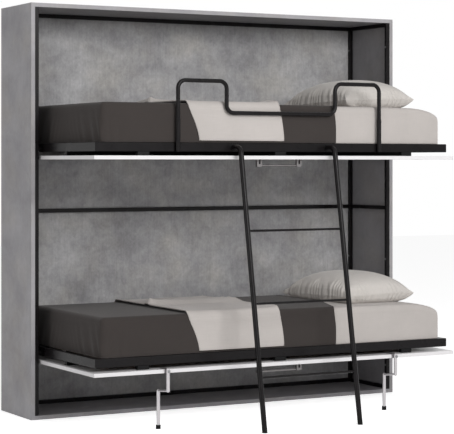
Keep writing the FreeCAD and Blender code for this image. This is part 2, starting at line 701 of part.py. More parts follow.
def make_guard_rail(bed):
    """Bent rail whose legs slide down in two sockets on the front of the bed frame."""
    foot = bed.frame_z + SOCKET_FLOOR + SOCKET_SPARE + GUARD_DROP
    high = bed.top + GUARD_HEIGHT
    low = bed.top + GUARD_LOW_HEIGHT
    outer = GUARD_SPAN / 2
    inner = GUARD_LOW_SPAN / 2
    right_half = [(inner, low), (inner, high), (outer, high), (outer, foot)]
    left_half = [(-x, z) for x, z in reversed(right_half)]
    points = [V(x, GUARD_Y, z) for x, z in left_half + right_half]
    rail = bent_rod(points, GUARD_BEND, GUARD_TUBE)
    save("guard_rail", [rail.cut(bent_rod(points, GUARD_BEND, GUARD_TUBE - 2 * GUARD_WALL))])
    top = foot + GUARD_IN_SOCKET
    socket = rod(V(outer, GUARD_Y, bed.frame_z), V(outer, GUARD_Y, top), SOCKET)
    bore_floor = V(outer, GUARD_Y, bed.frame_z + SOCKET_FLOOR)
    socket = socket.cut(rod(bore_floor, V(outer, GUARD_Y, top), SOCKET - 2 * SOCKET_WALL))
    seat = V(outer, GUARD_Y - SOCKET / 2, top - LOCK_SCREW_FROM_TOP)
    socket = socket.cut(screw_hole(seat, ALONG_Y, SOCKET / 2))
    save("guard_sockets", both_sides(socket))
    save("guard_rail_screws", both_sides(screw(seat, ALONG_Y, SOCKET_WALL)))


def make_ladder_bushes(bed):
    entry = ladder_entry(bed)
    lip = entry - ALONG_Y * LADDER_BUSH_LIP
    inside = entry + ALONG_Y * (LADDER_STUB_DEPTH + SIDE_CLEARANCE)
    outside = ladder_hole_diameter()
    bush = rod(entry, inside, outside).fuse(rod(lip, entry, outside + 2 * LADDER_BUSH_LIP)).removeSplitter()
    bush = bush.cut(rod(lip, inside, LADDER_TUBE + 2 * RUN_CLEARANCE))
    save("ladder_bushes", both_sides(bush))


def ladder_points(bed):
    """Route of the right stile from the floor to the end of its stub in the bed frame."""
    entry = ladder_entry(bed)
    floor = V(LADDER_X, FRAME_FRONT_Y - LADDER_FOOT_AHEAD, 0)
    corner = V(LADDER_X, FRAME_FRONT_Y - LADDER_TOP_AHEAD, entry.z)
    return floor, corner, entry + ALONG_Y * LADDER_STUB_DEPTH


def make_ladder(bed):
    floor, corner, tip = ladder_points(bed)
    way = (corner - floor).normalize()
    foot_top = floor + way * LADDER_FOOT_LENGTH
    bore = LADDER_TUBE - 2 * LADDER_WALL
    stile = bent_rod([foot_top, corner, tip], LADDER_BEND, LADDER_TUBE)
    stile = stile.cut(bent_rod([foot_top, corner, tip], LADDER_BEND, bore))
    rungs = []
    for index in range(RUNG_COUNT):
        rise = RUNG_FIRST_HEIGHT + index * RUNG_PITCH
        middle = floor + (corner - floor) * (rise / corner.z)
        start = V(-middle.x, middle.y, middle.z)
        stile = stile.cut(rod(V(0, middle.y, middle.z), middle, RUNG + 2 * SEAT_CLEARANCE))
        rungs.append(rod(start, middle, RUNG).cut(rod(start, middle, RUNG - 2 * RUNG_WALL)))
    save("ladder_stiles", both_sides(stile))
    save("ladder_rungs", rungs)
    below = floor - way * LADDER_TUBE
    plug_top = foot_top + way * LADDER_FOOT_PLUG
    foot = rod(below, foot_top, LADDER_TUBE).fuse(rod(foot_top, plug_top, bore - 2 * SEAT_CLEARANCE))
    reach = LADDER_TUBE * 2
    underground = box(
        (floor.x - reach, floor.x + reach), (floor.y - reach, floor.y + reach), (below.z - reach, 0)
    )
    save("ladder_feet", both_sides(foot.removeSplitter().cut(underground)))


def leg_pivot(bed):
    return V(LEG_X, LEG_Y, bed.panel_z + PANEL_THICKNESS / 2)


def make_legs(bed):
    """Upper tube on the pin and lower tube on the floor, set apart and joined by a thinner sloping link."""
    pivot = leg_pivot(bed)
    top = pivot + ALONG_Z * LEG_TOP
    bore = LEG_TUBE - 2 * LEG_WALL
    upper_end = V(LEG_X, LEG_Y, LEG_LINK_HEIGHT)
    lower_start = upper_end + V(0, LEG_LINK_BACK, -LEG_LINK_FALL)
    lower_end = V(lower_start.x, lower_start.y, LEG_FOOT_BASE)
    solid_end = ALONG_Z * LEG_LINK
    leg = rod(top, upper_end, LEG_TUBE).fuse([
        Part.makeSphere(LEG_TUBE / 2, upper_end),
        rod(upper_end, lower_start, LEG_LINK),
        Part.makeSphere(LEG_TUBE / 2, lower_start),
        rod(lower_start, lower_end, LEG_TUBE),
    ])
    across = ALONG_Y * LEG_TUBE
    leg = leg.removeSplitter().cut([
        rod(top - ALONG_Z * LEG_CAP, upper_end + solid_end, bore),
        rod(lower_start - solid_end, lower_end, bore),
        rod(pivot - across, pivot + across, LEG_PIN + 2 * RUN_CLEARANCE),
    ])
    foot_top = V(lower_end.x, lower_end.y, LEG_FOOT_HEIGHT)
    foot = rod(V(lower_end.x, lower_end.y, 0), foot_top, LEG_FOOT)
    foot = foot.cut(rod(lower_end, foot_top, LEG_TUBE + 2 * SEAT_CLEARANCE))
    save("right_leg", [leg])
    save("left_leg", [mirrored(leg)])
    save("right_leg_foot", [foot])
    save("left_leg_foot", [mirrored(foot)])


def make_leg_brackets(bed):
    pivot = leg_pivot(bed)
    x = (LEG_X - LEG_BRACKET_WIDTH / 2, LEG_X + LEG_BRACKET_WIDTH / 2)
    face_y = PANEL_FRONT_Y - LEG_BRACKET_SHEET
    high = bed.panel_top + LEG_BRACKET_SHEET
    bracket = box(x, (face_y, PANEL_FRONT_Y), (bed.panel_z, high))
    flange = box(x, (face_y, PANEL_FRONT_Y + LEG_BRACKET_LAP), (bed.panel_top, high))
    save("leg_brackets", both_sides(bracket.fuse(flange).removeSplitter()))
    collar_end = LEG_Y + LEG_TUBE / 2 + SIDE_CLEARANCE
    head_start = LEG_Y - LEG_TUBE / 2 - SIDE_CLEARANCE
    root = V(LEG_X, face_y, pivot.z)
    collar = rod(root, V(LEG_X, collar_end, pivot.z), LEG_PIN_HEAD)
    shank = rod(root, V(LEG_X, head_start, pivot.z), LEG_PIN)
    head_end = V(LEG_X, head_start - LEG_PIN_HEAD_THICKNESS, pivot.z)
    head = rod(V(LEG_X, head_start, pivot.z), head_end, LEG_PIN_HEAD)
    save("leg_pins", both_sides(collar.fuse([shank, head]).removeSplitter()))


os.makedirs("parts", exist_ok=True)
make_boards()
make_steel_frame()
make_pivots()
make_struts()
for each_bed in BEDS:
    make_bed_frame(each_bed)
    make_slats(each_bed)
    make_front_panel(each_bed)
    make_handle(each_bed)
    make_bed_pivots(each_bed)
    make_mattress(each_bed)
    make_cloths(each_bed)
    make_pillow(each_bed)
make_guard_rail(UPPER)
make_ladder_bushes(UPPER)
make_ladder(UPPER)
make_legs(LOWER)
make_leg_brackets(LOWER)
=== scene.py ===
import json
import math

import bmesh
import bpy
import numpy as np
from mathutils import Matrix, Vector


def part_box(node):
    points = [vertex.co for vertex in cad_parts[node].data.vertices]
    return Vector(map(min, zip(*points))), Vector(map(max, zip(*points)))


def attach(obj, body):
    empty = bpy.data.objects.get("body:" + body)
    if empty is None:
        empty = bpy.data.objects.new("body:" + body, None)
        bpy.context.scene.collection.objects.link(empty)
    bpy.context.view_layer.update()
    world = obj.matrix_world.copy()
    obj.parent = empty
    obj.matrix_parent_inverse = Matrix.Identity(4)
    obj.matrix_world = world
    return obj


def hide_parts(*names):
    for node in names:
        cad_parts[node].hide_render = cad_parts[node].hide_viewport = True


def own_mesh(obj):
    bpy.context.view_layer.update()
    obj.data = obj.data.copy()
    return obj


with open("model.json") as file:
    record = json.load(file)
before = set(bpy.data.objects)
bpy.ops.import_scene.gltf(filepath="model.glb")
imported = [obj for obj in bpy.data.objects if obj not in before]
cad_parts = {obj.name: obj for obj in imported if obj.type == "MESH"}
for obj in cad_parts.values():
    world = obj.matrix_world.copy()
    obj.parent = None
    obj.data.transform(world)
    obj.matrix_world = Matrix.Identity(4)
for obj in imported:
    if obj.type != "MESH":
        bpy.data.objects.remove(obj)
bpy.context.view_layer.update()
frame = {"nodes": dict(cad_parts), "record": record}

SCENE = bpy.context.scene
UPPER_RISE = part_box("upper_mattress")[0].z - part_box("lower_mattress")[0].z

TINY = 1e-9
WHITE = (1, 1, 1, 1)

# Faces that bound the inside of the cabinet, and the share of the concrete's colour kept there: a painted
# shade for the shade that falls inside the cabinet
INNER_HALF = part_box("right_side_panel")[0].x
INNER_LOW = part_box("bottom_panel")[1].z
INNER_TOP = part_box("top_panel")[0].z
FACE_SKIN = 0.0005
INNER_PAINTED_SHADE = 0.68

# Camera fitted to the cabinet's corners in the photograph
CAMERA_PLACE = (-4.3146, -8.0031, 1.2587)
CAMERA_TURN = (90.0, 0.0, -29.081)
CAMERA_LENS = 137.27
CAMERA_SENSOR = 36
CAMERA_SHIFT_Y = -0.12295
CAMERA_REACH = 100

# Soft light: name, place, aim, width and height of each lamp, and its power
AMBIENT = 0.32
LAMPS = (
    ("key", (0.2, -6.8, 3.3), (0, -0.3, 1.0), (3.0, 2.0), 252),
    ("side", (-7.0, -1.2, 1.3), (-1.0, -0.1, 1.0), (2.0, 2.0), 52),
    ("top", (-0.5, -4.5, 4.8), (0, -0.5, 0.8), (2.5, 2.5), 45),
)
FLOOR_LEVELS = (246, 246, 246)
FLOOR_ROUGHNESS = 0.9
FLOOR_REACH = 16.0
FLOOR_LIFT = 0.65

# The display curve of colours: linear below the knee, a power above it
CURVE_KNEE = 0.04045
CURVE_SLOPE = 12.92
CURVE_OFFSET = 0.055
CURVE_POWER = 2.4

# Sockets of a colour mix node
MIX_FACTOR = 0
MIX_FIRST = 6
MIX_SECOND = 7
MIX_RESULT = 2

# Range of a noise in which a tone goes from one end to the other
NOISE_BAND = (0.3, 0.7)

# Length of one band of a wave texture at scale 1
WAVE_LENGTH = math.pi / 10


def linear(*levels):
    """Colour for a shader from 0-255 display levels."""
    colour = []
    for level in levels:
        share = level / 255
        if share > CURVE_KNEE:
            colour.append(((share + CURVE_OFFSET) / (1 + CURVE_OFFSET)) ** CURVE_POWER)
        else:
            colour.append(share / CURVE_SLOPE)
    return (*colour, 1.0)


def toned(colour, share):
    """The colour made lighter or darker."""
    return (*(share * level for level in colour[:3]), 1.0)


class Surface:
    """One procedural material, in the coordinates of the piece itself, in metres."""

    def __init__(self, name, roughness, metallic=0.0):
        self.material = bpy.data.materials.new(name)
        self.material.use_nodes = True
        self.tree = self.material.node_tree
        self.shader = self.tree.nodes["Principled BSDF"]
        self.put("Roughness", roughness)
        self.put("Metallic", metallic)
        self.place = self.node("ShaderNodeTexCoord").outputs["Object"]

    def node(self, kind, **settings):
        made = self.tree.nodes.new(kind)
        for key, value in settings.items():
            setattr(made, key, value)
        return made

    def put(self, socket, value):
        """Sets a socket of the shader, or links a texture to it."""
        self.fill(self.shader.inputs[socket], value)

    def fill(self, socket, value):
        if isinstance(value, bpy.types.NodeSocket):
            self.tree.links.new(value, socket)
        else:
            socket.default_value = value

    def noise(self, scale, detail=4.0, rough=0.55, twist=0.0):
        """Noise with its own number of features per metre along X, Y and Z."""
        mapping = self.node("ShaderNodeMapping")
        self.fill(mapping.inputs["Vector"], self.place)
        self.fill(mapping.inputs["Scale"], scale)
        made = self.node("ShaderNodeTexNoise")
        self.fill(made.inputs["Vector"], mapping.outputs["Vector"])
        for key, value in (("Scale", 1.0), ("Detail", detail), ("Roughness", rough), ("Distortion", twist)):
            self.fill(made.inputs[key], value)
        return made.outputs["Fac"]

    def cells(self, scale, output="Distance"):
        made = self.node("ShaderNodeTexVoronoi")
        self.fill(made.inputs["Vector"], self.place)
        self.fill(made.inputs["Scale"], scale)
        return made.outputs[output]

    def waves(self, direction, pitch):
        """Bands one pitch apart along X, Y or Z."""
        made = self.node("ShaderNodeTexWave", wave_type="BANDS", bands_direction=direction)
        self.fill(made.inputs["Vector"], self.place)
        self.fill(made.inputs["Scale"], WAVE_LENGTH / pitch)
        return made.outputs["Fac"]

    def ramp(self, factor, *stops):
        """Colour that goes from one stop to the other."""
        made = self.node("ShaderNodeValToRGB")
        self.fill(made.inputs["Fac"], factor)
        for element, (place, colour) in zip(made.color_ramp.elements, stops):
            element.position = place
            element.color = colour
        return made.outputs["Color"]

    def shade(self, factor, low, high, dark, light):
        """Grey that goes from dark to light while the factor goes from low to high."""
        return self.ramp(factor, (low, (dark, dark, dark, 1)), (high, (light, light, light, 1)))

    def vary(self, factor, amount):
        """Grey about 1 that follows a noise."""
        return self.shade(factor, *NOISE_BAND, 1 - amount, 1 + amount)

    def plain(self, factor, colour):
        """One colour all over, to be multiplied by textures."""
        return self.ramp(factor, (0.0, colour), (1.0, colour))

    def mix(self, mode, factor, first, second):
        made = self.node("ShaderNodeMix", data_type="RGBA", blend_type=mode)
        for socket, value in ((MIX_FACTOR, factor), (MIX_FIRST, first), (MIX_SECOND, second)):
            self.fill(made.inputs[socket], value)
        return made.outputs[MIX_RESULT]

    def multiply(self, first, *others):
        for other in others:
            first = self.mix("MULTIPLY", 1.0, first, other)
        return first

    def math(self, operation, first, second=0.0):
        made = self.node("ShaderNodeMath", operation=operation)
        self.fill(made.inputs[0], first)
        self.fill(made.inputs[1], second)
        return made.outputs[0]

    def painted_shade_faces(self):
        """1 on the board faces that look into the cabinet, found by their place; the mask of the painted
        shade there.
        """
        parts = self.node("ShaderNodeSeparateXYZ")
        self.fill(parts.inputs[0], self.place)
        within = self.math("LESS_THAN", self.math("ABSOLUTE", parts.outputs["X"]), INNER_HALF + FACE_SKIN)
        above = self.math("GREATER_THAN", parts.outputs["Z"], INNER_LOW - FACE_SKIN)
        below = self.math("LESS_THAN", parts.outputs["Z"], INNER_TOP + FACE_SKIN)
        return self.math("MULTIPLY", self.math("MULTIPLY", within, above), below)

    def bump(self, height, strength, distance, under=None):
        made = self.node("ShaderNodeBump")
        self.fill(made.inputs["Strength"], strength)
        self.fill(made.inputs["Distance"], distance)
        self.fill(made.inputs["Height"], height)
        if under is not None:
            self.fill(made.inputs["Normal"], under)
        self.put("Normal", made.outputs["Normal"])
        return made.outputs["Normal"]


def concrete(name, dark, light, mottle, painted_inner_shade):
    """Concrete-look board: clouds, blotches, faint upright streaks, warm patches, small pores, and painted
    shade that darkens the faces inside the cabinet.
    """
    made = Surface(name, roughness=0.62)
    clouds = made.noise(scale=(4.2, 4.2, 5.0), detail=6.0, rough=0.6, twist=0.3)
    blotches = made.noise(scale=(30, 30, 26), detail=6.0, rough=0.66, twist=0.5)
    specks = made.noise(scale=(120, 120, 90), detail=4.0, rough=0.6)
    streaks = made.noise(scale=(110, 110, 6), detail=3.0, rough=0.55)
    patches = made.noise(scale=(5, 5, 5), detail=3.0)
    grains = made.noise(scale=(420, 420, 420), detail=2.0, rough=0.6)
    pores = made.shade(made.cells(scale=150), low=0.03, high=0.10, dark=0.78, light=1.0)
    made.put("Base Color", made.multiply(
        made.ramp(clouds, (0.32, dark), (0.68, light)),
        made.vary(blotches, mottle),
        made.vary(specks, 0.6 * mottle),
        made.vary(streaks, 0.4 * mottle),
        made.ramp(patches, (0.45, WHITE), (0.7, (1.02, 1.0, 0.95, 1))),
        pores,
        # painted shade: darkens the colour on the faces inside the cabinet
        made.shade(made.painted_shade_faces(), low=0.0, high=1.0, dark=1.0, light=painted_inner_shade),
    ))
    made.put("Roughness", made.shade(clouds, *NOISE_BAND, dark=0.72, light=0.56))
    made.put("Specular IOR Level", 0.3)
    under = made.bump(pores, strength=0.25, distance=0.0006)
    made.bump(grains, strength=0.1, distance=0.0004, under=under)
    return made.material


def powder_coat(name, colour, roughness):
    """Black satin coating with a fine orange-peel texture and slightly rubbed places."""
    made = Surface(name, roughness)
    rubbed = made.noise(scale=(9, 9, 9), detail=4.0)
    made.put("Base Color", made.ramp(rubbed, (0.3, colour), (0.75, toned(colour, 1.35))))
    made.put("Roughness", made.shade(rubbed, *NOISE_BAND, dark=roughness - 0.05, light=roughness + 0.08))
    made.put("Specular IOR Level", 0.1)
    made.put("Coat Weight", 0.05)
    made.put("Coat Roughness", 0.2)
    made.bump(made.noise(scale=(900, 900, 900), detail=2.0), strength=0.12, distance=0.0002)
    return made.material


def satin_board(name, colour):
    """Smooth lacquered board with faint unevenness."""
    made = Surface(name, roughness=0.34)
    tone = made.shade(made.noise(scale=(6, 6, 6), detail=3.0), *NOISE_BAND, dark=0.975, light=1.0)
    gloss = made.noise(scale=(14, 14, 14), detail=3.0)
    made.put("Base Color", made.multiply(made.plain(tone, colour), tone))
    made.put("Roughness", made.shade(gloss, *NOISE_BAND, dark=0.3, light=0.4))
    made.put("Coat Weight", 0.15)
    made.bump(made.noise(scale=(260, 260, 260), detail=2.0), strength=0.05, distance=0.0002)
    return made.material


def metal(name, colour, roughness, along):
    """Bare metal with a little tarnish and fine lines, so many per metre along X, Y and Z."""
    made = Surface(name, roughness, metallic=1.0)
    lines = made.noise(along, detail=3.0, rough=0.6)
    tarnish = made.noise(scale=(16, 16, 16), detail=4.0)
    tone = made.ramp(lines, (0.25, toned(colour, 0.86)), (0.75, colour))
    dulled = made.shade(tarnish, low=0.3, high=0.75, dark=0.86, light=1.0)
    made.put("Base Color", made.multiply(tone, dulled))
    worn = made.shade(lines, low=0.25, high=0.75, dark=roughness - 0.06, light=roughness + 0.1)
    made.put("Roughness", worn)
    made.bump(lines, strength=0.08, distance=0.0002)
    return made.material


def plated(name, colour):
    """Zinc-plated steel with faint crystal patches."""
    made = Surface(name, roughness=0.36, metallic=1.0)
    patches = made.shade(made.cells(scale=160, output="Color"), low=0.0, high=1.0, dark=0.8, light=1.0)
    dull = made.noise(scale=(60, 60, 60), detail=4.0)
    made.put("Base Color", made.multiply(made.plain(patches, colour), patches))
    made.put("Roughness", made.shade(dull, *NOISE_BAND, dark=0.28, light=0.46))
    made.bump(made.noise(scale=(700, 700, 700), detail=2.0), strength=0.06, distance=0.0002)
    return made.material


def moulded(name, colour, roughness, grain):
    """Moulded plastic or rubber with a fine spark-eroded grain."""
    made = Surface(name, roughness)
    grains = made.noise(scale=(grain, grain, grain), detail=2.0)
    dull = made.noise(scale=(40, 40, 40), detail=3.0)
    made.put("Base Color", made.ramp(grains, (0.3, toned(colour, 0.8)), (0.7, colour)))
    made.put("Roughness", made.shade(dull, *NOISE_BAND, dark=roughness - 0.06, light=roughness + 0.06))
    made.put("Specular IOR Level", 0.15)
    made.bump(grains, strength=0.15, distance=0.0003)
    return made.material


def timber(name, dark, light, along):
    """Planed beech with short flecks and long grain, so many lines per metre along X, Y and Z."""
    made = Surface(name, roughness=0.48)
    grain = made.noise(along, detail=5.0, rough=0.6, twist=0.5)
    flecks = made.noise(tuple(5 * share for share in along), detail=2.0)
    tone = made.ramp(grain, (0.3, dark), (0.72, light))
    flecked = made.shade(flecks, low=0.55, high=0.7, dark=1.0, light=0.84)
    made.put("Base Color", made.multiply(tone, flecked))
    made.put("Roughness", made.shade(grain, *NOISE_BAND, dark=0.42, light=0.56))
    made.bump(grain, strength=0.12, distance=0.0003)
    return made.material


def woven(name, colour, thread, slub, sheen):
    """Plain weave: crossing threads with slubs, on top and on the hanging sides alike."""
    made = Surface(name, roughness=0.88)
    crossing = made.mix("SCREEN", 1.0, made.waves("Y", thread), made.waves("Z", thread))
    weave = made.mix("MULTIPLY", 1.0, made.waves("X", thread), crossing)
    along = made.noise(scale=(18, 480, 480), detail=3.0)
    across = made.noise(scale=(480, 18, 18), detail=3.0)
    slubs = made.mix("MIX", 0.5, along, across)
    fade = made.shade(made.noise(scale=(7, 7, 7), detail=4.0), low=0.25, high=0.75, dark=0.95, light=1.04)
    threads = made.shade(weave, low=0.0, high=1.0, dark=0.94, light=1.03)
    made.put("Base Color", made.multiply(made.plain(fade, colour), fade, made.vary(slubs, slub), threads))
    made.put("Sheen Weight", sheen)
    made.put("Sheen Roughness", 0.45)
    made.put("Specular IOR Level", 0.2)
    under = made.bump(weave, strength=0.22, distance=thread / 4)
    made.bump(slubs, strength=0.25, distance=0.0008, under=under)
    return made.material


MATERIALS = {
    "concrete_board": concrete(
        "concrete_board", dark=linear(152, 150, 153), light=linear(168, 166, 169), mottle=0.045,
        painted_inner_shade=INNER_PAINTED_SHADE
    ),
    "concrete_back": concrete(
        "concrete_back", dark=linear(146, 145, 147), light=linear(178, 177, 178), mottle=0.14, painted_inner_shade=1.0
    ),
    "dowel_wood": timber("dowel_wood", linear(176, 140, 96), linear(206, 174, 128), along=(6, 90, 90)),
    "black_steel": powder_coat("black_steel", linear(18, 16, 17), roughness=0.28),
    "black_screws": powder_coat("black_screws", linear(18, 18, 19), roughness=0.32),
    "zinc_steel": plated("zinc_steel", linear(132, 132, 134)),
    "black_plastic": moulded("black_plastic", linear(14, 14, 15), roughness=0.5, grain=600),
    "rubber": moulded("rubber", linear(22, 22, 22), roughness=0.78, grain=350),
    "silver_tube": metal("silver_tube", linear(192, 189, 191), roughness=0.32, along=(300, 300, 12)),
    "brushed_handle": metal("brushed_handle", linear(122, 119, 119), roughness=0.4, along=(12, 420, 420)),
    "slat_wood": timber("slat_wood", linear(122, 96, 68), linear(152, 124, 92), along=(70, 4, 70)),
    "white_board": satin_board("white_board", linear(226, 224, 225)),
    "sheet_fabric": woven("sheet_fabric", linear(184, 178, 174), thread=0.0016, slub=0.04, sheen=0.14),
    "coverlet_fabric": woven("coverlet_fabric", linear(58, 53, 51), thread=0.0022, slub=0.08, sheen=0.12),
    "throw_fabric": woven("throw_fabric", linear(188, 182, 178), thread=0.0024, slub=0.05, sheen=0.16),
    "pillow_fabric": woven("pillow_fabric", linear(202, 197, 192), thread=0.0015, slub=0.04, sheen=0.2),
    "strut_black": powder_coat("strut_black", linear(20, 20, 22), roughness=0.24),
    "strut_chrome": metal("strut_chrome", linear(224, 224, 228), roughness=0.12, along=(200, 200, 200)),
}


def dress_cad_nodes():
    """Gives every CAD node the material of its slot."""
    for row in frame["record"]["subparts"]:
        node = frame["nodes"][row["node"]]
        material = MATERIALS[row["material_slot"]]
        if not node.material_slots:
            node.data.materials.append(material)
        for place in node.material_slots:
            place.material = material


def shell(counts, kept=None):
    """Grid of quads on the faces of a box: points in shares of the box, and faces.

    kept(axis, end) picks the sides of the box that are made.
    """
    numbers = {}
    faces = []
    for axis, (first, second) in enumerate(((1, 2), (2, 0), (0, 1))):
        for end in (0, counts[axis]):
            if kept is not None and not kept(axis, end):
                continue
            for i in range(counts[first]):
                for j in range(counts[second]):
                    quad = []
                    for di, dj in ((0, 0), (1, 0), (1, 1), (0, 1)):
                        key = [end, end, end]
                        key[first] = i + di
                        key[second] = j + dj
                        quad.append(numbers.setdefault(tuple(key), len(numbers)))
                    faces.append(quad if end else quad[::-1])
    return np.array(list(numbers), float) / np.array(counts, float), faces


def new_piece(name, points, faces, slot):
    mesh = bpy.data.meshes.new(name)
    mesh.from_pydata([tuple(p) for p in points], [], faces)
    mesh.polygons.foreach_set("use_smooth", [True] * len(mesh.polygons))
    mesh.materials.append(MATERIALS[slot])
    piece = bpy.data.objects.new(name, mesh)
    SCENE.collection.objects.link(piece)
    return piece


def points_of(piece):
    flat = np.zeros(len(piece.data.vertices) * 3)
    piece.data.vertices.foreach_get("co", flat)
    return flat.reshape(-1, 3)


def normals_of(piece):
    flat = np.zeros(len(piece.data.vertices) * 3)
    piece.data.vertex_normals.foreach_get("vector", flat)
    return flat.reshape(-1, 3)


def set_points(piece, points):
    piece.data.vertices.foreach_set("co", points.ravel())
    piece.data.update()


def apply_all(piece):
    """Puts the result of the piece's modifiers into its own mesh."""
    seen = piece.evaluated_get(bpy.context.evaluated_depsgraph_get())
    mesh = bpy.data.meshes.new_from_object(seen)
    piece.modifiers.clear()
    piece.data = mesh
    mesh.polygons.foreach_set("use_smooth", [True] * len(mesh.polygons))
    return piece


def settle(piece, frames, cloth, contact=None, pinned=None):
    """Runs cloth simulation on the piece and keeps the settled mesh."""
    modifier = piece.modifiers.new("cloth", "CLOTH")
    for key, value in cloth.items():
        owner = modifier.settings.effector_weights if key == "gravity" else modifier.settings
        setattr(owner, key, value)
    modifier.collision_settings.use_collision = contact is not None
    for key, value in (contact or {}).items():
        setattr(modifier.collision_settings, key, value)
    if pinned is not None:
        group = piece.vertex_groups.new(name="pinned")
        for weight in np.unique(pinned[pinned > 0]):
            group.add(np.flatnonzero(pinned == weight).tolist(), float(weight), "REPLACE")
        modifier.settings.vertex_group_mass = group.name
    modifier.point_cache.frame_end = frames
    for step in range(1, frames + 1):
        SCENE.frame_set(step)
    apply_all(piece)
    SCENE.frame_set(1)
    piece.vertex_groups.clear()


def smooth_step(values):
    values = np.clip(values, 0.0, 1.0)
    return values * values * (3 - 2 * values)


def rounded(points, low, high, low_radius, high_radius):
    """Rounds a box's edges, with a radius for each axis at the low and the high side.

    A radius of 0 leaves the points on that side where they are.
    """
    low_radius = np.array(low_radius)
    high_radius = np.array(high_radius)
    core = np.clip(points, low + low_radius, high - high_radius)
    away = points - core
    shares = away / np.maximum(np.where(away < 0, low_radius, high_radius), TINY)
    return core + away / np.maximum(np.linalg.norm(shares, axis=1, keepdims=True), 1.0)


def capped(start, end, limit):
    """Moves points towards their new places, no further than the limit."""
    moved = end - start
    reach = np.linalg.norm(moved, axis=1, keepdims=True)
    return start + moved * np.minimum(1.0, limit / np.maximum(reach, TINY))


# Mattress: it lies a little lower than the solid; steps and roundings in metres
MATTRESS_LOW, MATTRESS_HIGH = (np.array(corner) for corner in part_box("lower_mattress"))
BEDDING_SINK = 0.005
MATTRESS_HIGH[2] -= BEDDING_SINK
MATTRESS_STEP = 0.02
MATTRESS_CLUSTER = 0.8
SIDE_ROUND = 0.016
HEAD_ROUND = 0.005
TOP_ROUND = 0.032
MATTRESS_SWELL = 0.002
HEAD_SLOPE = 0.20
HEAD_DROP = 0.056
MATTRESS_HELD = 0.12
MATTRESS_FRAMES = 20
MATTRESS_CLOTH = {
    "quality": 5, "mass": 0.3, "tension_stiffness": 12, "compression_stiffness": 12,
    "shear_stiffness": 6, "bending_stiffness": 2, "use_pressure": True,
    "uniform_pressure_force": 3.0, "gravity": 0.0,
}


def head_drop(x):
    """How far the top sinks in a wide round towards the head end."""
    along = np.clip((x - MATTRESS_HIGH[0] + HEAD_SLOPE) / HEAD_SLOPE, 0.0, 1.0)
    return HEAD_DROP * (1 - np.sqrt(1 - along * along))


def clustered(shares):
    """Draws the even lines of a grid towards its ends, where the edges are rounded."""
    return shares - MATTRESS_CLUSTER / (2 * math.pi) * np.sin(2 * math.pi * shares)


def make_mattress():
    """Foam mattress in a fitted sheet: slightly swollen, soft edges and a head end that rounds down."""
    low = MATTRESS_LOW
    high = MATTRESS_HIGH
    counts = [round(size / MATTRESS_STEP) for size in high - low]
    shares, faces = shell(counts)
    points = rounded(low + clustered(shares) * (high - low), low, high,
                     (SIDE_ROUND, SIDE_ROUND, 0), (HEAD_ROUND, SIDE_ROUND, TOP_ROUND))
    rise = (points[:, 2] - low[2]) / (high[2] - low[2])
    points[:, 2] -= head_drop(points[:, 0]) * rise
    piece = new_piece("lower_fitted_sheet", points, faces, "sheet_fabric")
    outward = normals_of(piece)
    held = (rise < MATTRESS_HELD).astype(float)
    settle(piece, MATTRESS_FRAMES, MATTRESS_CLOTH, pinned=held)
    push = np.sum((points_of(piece) - points) * outward, axis=1, keepdims=True)
    set_points(piece, points + outward * np.clip(push, 0.0, MATTRESS_SWELL))
    refine(piece)
    return piece


# Coverlet: ends on the head side, hem, and folds that reach so far along the sides and the foot end
COVERLET_REAR_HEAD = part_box("lower_coverlet")[1].x
COVERLET_FRONT_HEAD = 0.312
COVERLET_SLANT = 0.35
COVERLET_STEP = 0.014
COVERLET_OUT = 0.003
COVERLET_THICK = 0.003
COVERLET_EDGE_SWING = 0.010
COVERLET_SWING_RATE = 1.6
COVERLET_EDGE_POWER = 3
COVERLET_HELD = 0.02
COVERLET_FRAMES = 20
COVERLET_CLOTH = {
    "quality": 6, "mass": 0.25, "tension_stiffness": 20, "compression_stiffness": 20,
    "shear_stiffness": 10, "bending_stiffness": 1.5,
}
COVERLET_CONTACT = {"distance_min": 0.0015, "collision_quality": 2}
HEM_ABOVE_FRAME = 0.004
HEM_ROUND = 0.0028
FOLD_REACH = (0.18, 0.5)
FOLD_SLANT = 0.4
FOLD_DEPTH = 0.009
FOLD_PITCH = 0.06
FOLD_UNEVEN = 0.5
FOLD_START = 0.04


def folds_along(distance, reach):
    """Outward waves that start a little beside a foot corner and die away along the side."""
    turns = distance / FOLD_PITCH + FOLD_UNEVEN * np.sin(distance / FOLD_PITCH)
    waves = 0.5 - 0.5 * np.cos(2 * math.pi * turns)
    return FOLD_DEPTH * waves * smooth_step(distance / FOLD_START) * (1 - smooth_step(distance / reach))


def coverlet_folds(points, low, high):
    """Shallow slanting folds near the foot corners and on the foot end that deepen towards the hem."""
    fall = high[2] - points[:, 2]
    depth = smooth_step(fall / (high[2] - low[2]))
    from_side = np.minimum(points[:, 1] - low[1], high[1] - points[:, 1])
    along = depth * folds_along(points[:, 0] - low[0], FOLD_REACH[0])
    across = depth * folds_along(from_side + FOLD_SLANT * fall, FOLD_REACH[1])
    folds = np.zeros_like(points)
    folds[:, 1] = np.where(points[:, 1] < low[1] + SIDE_ROUND / 2, -along, 0.0)
    folds[:, 1] += np.where(points[:, 1] > high[1] - SIDE_ROUND / 2, along, 0.0)
    folds[:, 0] = np.where(points[:, 0] < low[0] + SIDE_ROUND / 2, -across, 0.0)
    return folds


